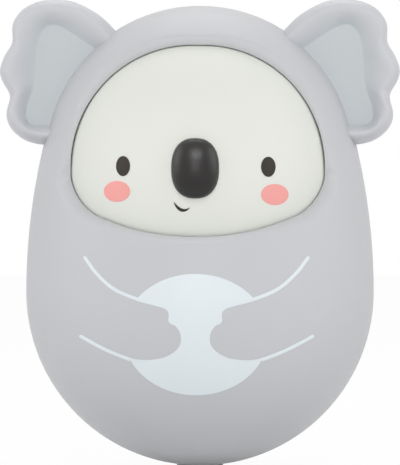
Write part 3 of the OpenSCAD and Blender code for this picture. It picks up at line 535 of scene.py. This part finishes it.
def ribbon(path, way, half, shoulder, top, place, mirror=1):
    """A stroke of ink along a path: a flat top with soft shoulders, closed underneath and at both ends.

    Eight points lie across it, as shares of its half width, and a ring drawn together closes each end."""
    side = np.array([-1, -1, -shoulder, 0, shoulder, 1, 1, 0])
    lift = np.array([INK_UNDER, INK_EDGE, top, top, top, INK_EDGE, INK_UNDER, INK_UNDER])
    across = beside(way)
    x = (path[:, :1] + across[:, :1] * half * side) * mirror
    z = path[:, 1:] + across[:, 1:] * half * side
    skin = place(x, z, np.broadcast_to(lift, x.shape))
    hub = np.repeat(skin.mean(axis=1, keepdims=True), len(side), axis=1)
    skin = np.concatenate([hub[:1], skin, hub[-1:]])
    return skin, grid_faces(len(skin), len(side))


def smile_print():
    """The smile: a stroke on the head ball along a parabola, as wide as a power of the sine of its run."""
    run = np.linspace(0.004, 0.996, 90)[:, None]
    first, bend, last = np.array(SMILE) + [0, BALL_Z]
    path = (1 - run) ** 2 * first + 2 * run * (1 - run) * bend + run**2 * last
    way = 2 * (1 - run) * (bend - first) + 2 * run * (last - bend)
    way /= np.linalg.norm(way, axis=1, keepdims=True)
    half = SMILE_HALF * np.sin(np.pi * run**0.9) ** 0.85
    return ribbon(path, way, half, 0.8, INK, on_ball)


# Tummy print


# Lines of the right arm, seen from the front, and the tummy's oval
ARM_TOP = [(28.4, 54.1), (25.0, 49.7), (20.5, 45.9), (14.8, 43.5), (9.5, 42.1), (7.7, 41.6)]
PAW = [(7.7, 41.6), (6.75, 40.8), (6.55, 39.6), (6.65, 38.6), (6.1, 37.8), (5.0, 37.3), (4.1, 36.2), (3.65, 35.0),
       (3.55, 33.8), (3.8, 32.6), (4.6, 31.4), (6.1, 30.2), (8.2, 29.2)]
ARM_LOW = [(8.2, 29.2), (11.1, 28.75), (14.4, 28.75), (17.3, 29.5), (22.7, 31.6), (29.2, 34.9)]
TUMMY_Z, TUMMY_A, TUMMY_B = 35.0, 17.9, 15.1


def inside_loop(x, z, loop):
    """True where a point is inside a closed line: an odd number of the line's edges lie to its right."""
    x0, z0 = loop[:, 0][:, None], loop[:, 1][:, None]
    x1, z1 = np.roll(x0, -1, axis=0), np.roll(z0, -1, axis=0)
    cross = (z0 > z) != (z1 > z)
    at = x0 + (z - z0) / np.where(z1 == z0, 1e-9, z1 - z0) * (x1 - x0)
    return (np.sum(cross & (x < at), axis=0) % 2) == 1


def tummy_share(p):
    """How far out a point lies in the tummy's oval, squared: 1 on its line."""
    return (p[:, 0] / TUMMY_A) ** 2 + ((p[:, 1] - TUMMY_Z) / TUMMY_B) ** 2


def tummy_skin():
    """The tummy: an oval less both arms, filled with triangles between its lines and a lattice, on the egg's skin."""
    turn = np.linspace(0, TURN, 260, endpoint=False)
    oval = np.stack([TUMMY_A * np.cos(turn), TUMMY_Z + TUMMY_B * np.sin(turn)], axis=-1)
    arm = np.concatenate([through(ARM_TOP)[:-1], through(PAW, 14)[:-1], through(ARM_LOW)])
    arms = [arm, arm * [-1, 1]]
    lattice = np.stack(np.meshgrid(np.arange(-18, 18.1, 1.0), np.arange(19, 51, 1.0)), axis=-1).reshape(-1, 2)
    loops = [oval] + arms
    points = [Vector(p) for p in np.concatenate(loops + [lattice])]
    counts = [len(loop) for loop in loops]
    starts = np.cumsum([0] + counts)
    edges = [start + np.stack([np.arange(n), (np.arange(n) + 1) % n], -1) for start, n in zip(starts, counts)]
    verts, _, tris, *_ = geometry.delaunay_2d_cdt(points, np.concatenate(edges).tolist(), [], 0, 1e-5)
    flat = np.array([(v.x, v.y) for v in verts])
    tris = np.array(tris)
    mid = flat[tris].mean(axis=1)
    keep = tummy_share(mid) < 1
    for loop in arms:
        keep &= ~inside_loop(mid[:, 0], mid[:, 1], loop)
    used, tris = np.unique(tris[keep], return_inverse=True)
    flat, tris = flat[used], tris.reshape(-1, 3)
    count = len(flat)
    edges = np.concatenate([tris[:, [0, 1]], tris[:, [1, 2]], tris[:, [2, 0]]])
    _, first, times = np.unique(np.sort(edges, axis=1), axis=0, return_index=True, return_counts=True)
    rim = edges[first[times == 1]]
    sides = np.stack([rim[:, 0], rim[:, 1], rim[:, 1] + count, rim[:, 0] + count], axis=-1)
    top, under = (on_egg(flat[:, 0], flat[:, 1], np.full(count, lift)) for lift in (INK, INK_UNDER))
    return np.concatenate([top, under]), tris.tolist() + (tris[:, ::-1] + count).tolist() + sides.tolist()


def arm_line(points, belly_side, mirror, half=0.43):
    """A line of ink on the egg: a ribbon with soft edges carried along a smooth path to the edge of the tummy.

    Its outer end is round, and its whole width lies on the tummy's side of the arm's outline."""
    path = through(points, 24)
    path = path[tummy_share(path) > 0.965]
    way = np.gradient(path, axis=0)
    way /= np.linalg.norm(way, axis=1, keepdims=True)
    path = path + beside(way) * half * belly_side
    run = np.concatenate([[0], np.cumsum(np.linalg.norm(np.diff(path, axis=0), axis=1))])
    width = half * np.sqrt(np.clip(1 - (1 - np.clip(run / half, 0, 1)) ** 2, 0.0004, 1))
    return ribbon(path, way, width[:, None], 0.85, ARM_INK, on_egg, mirror)


# Screws in the wells of the rear shell


# Turned outline of a screw, as radius and height over the well's floor, from the tip of its shank to its head
SCREW_OUTLINE = [
    (0, -10), (0.9, -10), (1.3, -9.4), (1.3, 0), (2.3, 0), (2.5, 0.2), (2.5, 1.2), (2.4, 1.5), (2.2, 1.7)]
CROSS_HALF_W, CROSS_HALF_LEN, CROSS_DEPTH = 0.5, 1.5, 0.9


def screw_skin(wx, wz):
    """A small screw: a turned outline from its tip over its domed head, with a cross pressed into the top."""

    def bar(a, b):
        return smooth_step((CROSS_HALF_W - np.abs(a)) / 0.22) * smooth_step((CROSS_HALF_LEN - np.abs(b)) / 0.3)

    dome_r = np.linspace(2.1, 0, 26)
    dome = np.stack([dome_r, 2.0 - 0.3 * (dome_r / 2.2) ** 2], axis=-1)
    outline = np.concatenate([SCREW_OUTLINE, dome])
    angle = np.linspace(0, TURN, 96, endpoint=False)
    r, h = outline[:, :1], outline[:, 1:] * np.ones_like(angle)
    u, v = r * np.cos(angle), r * np.sin(angle)
    cross = CROSS_DEPTH * np.maximum(bar(u, v), bar(v, u)) * (1 - 0.25 * np.hypot(u, v))
    h = h - np.where(h > 1.65, cross, 0)
    return np.stack([wx + u, WELL_FLOOR_Y + h, wz + v], axis=-1), grid_faces(len(outline), len(angle))


# Finishes


def node_tree(tree):
    """Short ways to add a node with its values and to join two sockets of a tree."""

    def add(kind, **values):
        node = tree.nodes.new(kind)
        for key, value in values.items():
            if hasattr(node, key):
                setattr(node, key, value)
            else:
                node.inputs[key.replace("_", " ")].default_value = value
        return node

    return add, tree.links.new


def grain_group():
    """Moulded grain: a fine and a broad noise. Gives a tint that drifts slowly, a roughness that follows the fine
    grain, and a normal from its height."""
    tree = bpy.data.node_groups.new("moulded_grain", "ShaderNodeTree")
    face = tree.interface
    for name, kind, value in (("Tint", "NodeSocketColor", (0.5, 0.5, 0.5, 1)), ("Drift", "NodeSocketFloat", 0.02),
                              ("Gloss", "NodeSocketFloat", 0.45), ("Grain Size", "NodeSocketFloat", 2600.0),
                              ("Grain Depth", "NodeSocketFloat", 0.05)):
        face.new_socket(name, in_out="INPUT", socket_type=kind).default_value = value
    face.new_socket("Tint", in_out="OUTPUT", socket_type="NodeSocketColor")
    face.new_socket("Roughness", in_out="OUTPUT", socket_type="NodeSocketFloat")
    face.new_socket("Normal", in_out="OUTPUT", socket_type="NodeSocketVector")
    add, join = node_tree(tree)
    given, out = add("NodeGroupInput"), add("NodeGroupOutput")
    place = add("ShaderNodeTexCoord")
    fine = add("ShaderNodeTexNoise", Detail=3.0, Roughness=0.6)
    join(place.outputs["Object"], fine.inputs["Vector"])
    join(given.outputs["Grain Size"], fine.inputs["Scale"])
    broad = add("ShaderNodeTexNoise", Scale=26.0, Detail=2.0)
    join(place.outputs["Object"], broad.inputs["Vector"])
    swing = add("ShaderNodeMath", operation="SUBTRACT")
    swing.inputs[1].default_value = 0.5
    join(broad.outputs["Fac"], swing.inputs[0])
    drift = add("ShaderNodeMath", operation="MULTIPLY_ADD")
    drift.inputs[2].default_value = 1.0
    join(swing.outputs[0], drift.inputs[0])
    join(given.outputs["Drift"], drift.inputs[1])
    tint = add("ShaderNodeVectorMath", operation="SCALE")
    join(given.outputs["Tint"], tint.inputs[0])
    join(drift.outputs[0], tint.inputs["Scale"])
    join(tint.outputs["Vector"], out.inputs["Tint"])
    spread = add("ShaderNodeMapRange", From_Min=0.3, From_Max=0.7, To_Min=-0.05, To_Max=0.05)
    join(fine.outputs["Fac"], spread.inputs["Value"])
    rough = add("ShaderNodeMath", operation="ADD", use_clamp=True)
    join(spread.outputs["Result"], rough.inputs[0])
    join(given.outputs["Gloss"], rough.inputs[1])
    join(rough.outputs[0], out.inputs["Roughness"])
    bump = add("ShaderNodeBump", Distance=0.0002)
    join(given.outputs["Grain Depth"], bump.inputs["Strength"])
    join(fine.outputs["Fac"], bump.inputs["Height"])
    join(bump.outputs["Normal"], out.inputs["Normal"])
    return tree


GRAIN = grain_group()


def srgb(r, g, b):
    """A colour given in screen steps from 0 to 255 as the linear colour that the shader takes."""
    c = np.array([r, g, b]) / 255
    return (*np.where(c <= 0.04045, c / 12.92, ((c + 0.055) / 1.055) ** 2.4), 1.0)


# Sockets of a Mix node that are for colours
MIX_A, MIX_B, MIX_OUT = 6, 7, 2


def moulded(name, tint, gloss, grain_size=2600.0, grain_depth=0.05, drift=0.02, dish_painted_shade=None, **shader_values):
    """A finish on the moulded grain; plain numbers go straight onto the shader's own sockets.

    Painted shade: a darker, bluer tint takes over smoothly from the rim of an ear to the floor of its dish, where the
    recess is in shade."""
    finish = bpy.data.materials.new(name)
    finish.use_nodes = True
    tree = finish.node_tree
    shader = tree.nodes["Principled BSDF"]
    add, join = node_tree(tree)
    grain = add("ShaderNodeGroup", node_tree=GRAIN)
    for key, value in (("Tint", tint), ("Drift", drift), ("Gloss", gloss), ("Grain Size", grain_size),
                       ("Grain Depth", grain_depth)):
        grain.inputs[key].default_value = value
    join(grain.outputs["Tint"], shader.inputs["Base Color"])
    join(grain.outputs["Roughness"], shader.inputs["Roughness"])
    join(grain.outputs["Normal"], shader.inputs["Normal"])
    for key, value in shader_values.items():
        shader.inputs[key.replace("_", " ")].default_value = value
    # Painted shade: the dish's depth darkens and blues the tint towards the floor of the dish
    if dish_painted_shade:
        depth = add("ShaderNodeAttribute", attribute_name="dish")
        mix = add("ShaderNodeMix", data_type="RGBA")
        mix.inputs[MIX_A].default_value, mix.inputs[MIX_B].default_value = tint, dish_painted_shade
        join(depth.outputs["Fac"], mix.inputs["Factor"])
        join(mix.outputs[MIX_OUT], grain.inputs["Tint"])
    return finish


shell_grey = moulded("shell_grey", srgb(198, 199, 202), 0.48, Specular_IOR_Level=0.3)
# The ear's darker, bluer dish tint is painted shade in the recess, not a colour of the plastic
ear_grey = moulded("ear_grey", srgb(201, 202, 206), 0.48, dish_painted_shade=srgb(195, 200, 203), Specular_IOR_Level=0.35)
face_cream = moulded("face_cream", srgb(227, 229, 222), 0.58, Specular_IOR_Level=0.2)
nose_black = moulded("nose_black", srgb(16, 11, 9), 0.36, grain_size=1800.0, grain_depth=0.08, drift=0.2,
                     Specular_IOR_Level=0.5)
eye_ink = moulded("eye_ink", srgb(50, 45, 39), 0.45, drift=0.1, Specular_IOR_Level=0.3)
cheek_ink = moulded("cheek_ink", srgb(243, 164, 159), 0.5, drift=0.04)
tummy_ink = moulded("tummy_ink", srgb(225, 233, 237), 0.36)
inner_white = moulded("inner_white", srgb(222, 222, 218), 0.5)
screw_steel = moulded("screw_steel", srgb(170, 172, 175), 0.3, grain_size=5200.0, drift=0.12, Metallic=1.0)
chime_steel = moulded("chime_steel", srgb(200, 202, 205), 0.2, grain_size=4200.0, drift=0.08, Metallic=1.0)
cast_iron = moulded("cast_iron", srgb(92, 92, 95), 0.62, grain_size=1100.0, grain_depth=0.4, drift=0.25, Metallic=1.0)
beech = moulded("beech", srgb(196, 158, 112), 0.55, grain_size=700.0, grain_depth=0.15, drift=0.3)

NODE_FINISHES = {
    "shell_plastic": shell_grey, "ear_plastic": ear_grey, "face_plastic": face_cream, "inner_plastic": inner_white,
    "nose_plastic": nose_black, "dark_ink": eye_ink, "cheek_ink": cheek_ink, "tummy_ink": tummy_ink,
    "steel": screw_steel, "bright_steel": chime_steel, "iron": cast_iron, "beech": beech,
}
for row in frame["record"]["subparts"]:
    part = frame["nodes"][row["node"]]
    part.data.materials.clear()
    part.data.materials.append(NODE_FINISHES[row["material_slot"]])


# Pieces


moulding("front_shell_skin", *front_skin(), shell_grey, "shell", "shell_plastic", ["front_shell"])
moulding("rear_shell_skin", *rear_skin(), shell_grey, "shell", "shell_plastic", ["rear_shell"])
moulding("foot_skin", *foot_skin(), shell_grey, "shell", "shell_plastic", ["front_shell", "rear_shell"])
for ear, side in (("left_ear", -1), ("right_ear", 1)):
    points, faces, down = ear_skin(side)
    moulding(f"{ear}_skin", points, faces, ear_grey, "shell", "ear_plastic", [ear], dish=down)
face_rear_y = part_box("face_shell")[1][1] / MM
moulding("face_skin", *face_skin(face_rear_y), face_cream, "head", "face_plastic", ["face_shell"])
moulding("nose_skin", *nose_skin(), nose_black, "head", "nose_plastic", ["nose"])
for side, place in zip(("left", "right"), EYES):
    moulding(f"{side}_eye_print", *oval_print(*place, *EYE_SIZE), eye_ink, "head", "dark_ink", ["eyes"])
for side, place in zip(("left", "right"), CHEEKS):
    moulding(f"{side}_cheek_print", *oval_print(*place, *CHEEK_SIZE), cheek_ink, "head", "cheek_ink", ["cheeks"])
moulding("smile_print", *smile_print(), eye_ink, "head", "dark_ink", ["smile"])
moulding("tummy_skin", *tummy_skin(), tummy_ink, "shell", "tummy_ink", ["tummy_print"])
for side, mirror in (("left", -1), ("right", 1)):
    for part, line, belly_side in (("upper", ARM_TOP, -1), ("lower", ARM_LOW[::-1], 1)):
        moulding(f"{side}_{part}_arm_line", *arm_line(line, belly_side, mirror), tummy_ink, "shell", "tummy_ink",
                 ["tummy_print"])
for number, place in enumerate(SCREW_PLACES, 1):
    moulding(f"shell_screw_{number}", *screw_skin(*place), screw_steel, "shell", "steel", ["shell_screws"])


# Stage, light and camera


FLOOR_Z = -0.00005
FLOOR_HALF = 4
FLOOR_TONE = 0.93
FLOOR_WHITE = 0.96
LAMPS = (
    ("key", (0.06, -1.05, 0.82), (0, 0, 0.075), 0.55, 5.0),
    ("low_fill", (0.0, -1.1, 0.12), (0, 0, 0.04), 0.45, 1.4),
    ("back_top", (0.0, 0.75, 1.25), (0, 0, 0.09), 0.8, 4.5),
    ("left", (-1.1, -0.1, 0.5), (0, 0, 0.06), 0.9, 3.4),
    ("right", (1.1, -0.1, 0.5), (0, 0, 0.06), 0.9, 3.4),
)


def seen_directly(add, join):
    """1 for light that reaches the camera straight, from a gloss or through glass, and 0 for all other light."""
    path = add("ShaderNodeLightPath")
    seen = path.outputs["Is Camera Ray"]
    for ray in ("Is Glossy Ray", "Is Transmission Ray"):
        either = add("ShaderNodeMath", operation="MAXIMUM")
        join(seen, either.inputs[0])
        join(path.outputs[ray], either.inputs[1])
        seen = either.outputs[0]
    return seen


def stage_floor():
    """A pale floor: white where it is seen, with a faint share of the real shade, and diffuse to other light."""
    finish = bpy.data.materials.new("pale_floor")
    finish.use_nodes = True
    tree = finish.node_tree
    tree.nodes.clear()
    add, join = node_tree(tree)
    out = add("ShaderNodeOutputMaterial")
    matt = add("ShaderNodeBsdfDiffuse", Color=(FLOOR_TONE, FLOOR_TONE, FLOOR_TONE, 1))
    glow = add("ShaderNodeEmission", Color=(1, 1, 1, 1), Strength=1.0)
    share = add("ShaderNodeMath", operation="MULTIPLY")
    share.inputs[1].default_value = FLOOR_WHITE
    join(seen_directly(add, join), share.inputs[0])
    mix = add("ShaderNodeMixShader")
    join(share.outputs[0], mix.inputs["Fac"])
    join(matt.outputs[0], mix.inputs[1])
    join(glow.outputs[0], mix.inputs[2])
    join(mix.outputs[0], out.inputs["Surface"])
    mesh = bpy.data.meshes.new("floor")
    corners = [(sx * FLOOR_HALF, sy * FLOOR_HALF, FLOOR_Z) for sx, sy in ((-1, -1), (1, -1), (1, 1), (-1, 1))]
    mesh.from_pydata(corners, [], [(0, 1, 2, 3)])
    mesh.materials.append(finish)
    floor = bpy.data.objects.new("floor", mesh)
    bpy.context.scene.collection.objects.link(floor)


def studio_world(level=0.41):
    """White where it is seen, and an even pale light to everything else."""
    world = bpy.data.worlds.new("studio")
    bpy.context.scene.world = world
    world.use_nodes = True
    tree = world.node_tree
    tree.nodes.clear()
    add, join = node_tree(tree)
    out = add("ShaderNodeOutputWorld")
    even = add("ShaderNodeBackground", Color=(1.0, 1.0, 1.0, 1), Strength=level)
    white = add("ShaderNodeBackground", Color=(1, 1, 1, 1), Strength=1.0)
    mix = add("ShaderNodeMixShader")
    join(seen_directly(add, join), mix.inputs["Fac"])
    join(even.outputs[0], mix.inputs[1])
    join(white.outputs[0], mix.inputs[2])
    join(mix.outputs[0], out.inputs["Surface"])


def softbox(name, place, aim, size, power):
    """A square lamp that looks from its place at a point."""
    lamp = bpy.data.lights.new(name, "AREA")
    lamp.shape = "SQUARE"
    lamp.size = size
    lamp.energy = power
    box = bpy.data.objects.new(name, lamp)
    box.location = place
    box.rotation_euler = (Vector(aim) - Vector(place)).to_track_quat("-Z", "Y").to_euler()
    bpy.context.scene.collection.objects.link(box)


def photo_camera(azimuth=1.5, distance=0.9, height=0.0603, across=0.1206):
    """The camera: level, at the height of the photo's middle, its long side as wide as the photo's at the toy."""
    lens = bpy.data.cameras.new("camera")
    lens.sensor_width = 36
    lens.lens = lens.sensor_width * distance / across
    eye = bpy.data.objects.new("camera", lens)
    turn = np.radians(azimuth)
    eye.location = (distance * np.sin(turn), -distance * np.cos(turn), height)
    eye.rotation_euler = (np.pi / 2, 0, turn)
    bpy.context.scene.collection.objects.link(eye)
    bpy.context.scene.camera = eye


stage_floor()
studio_world()
for lamp in LAMPS:
    softbox(*lamp)
photo_camera()
bpy.context.scene.view_settings.view_transform = "Standard"
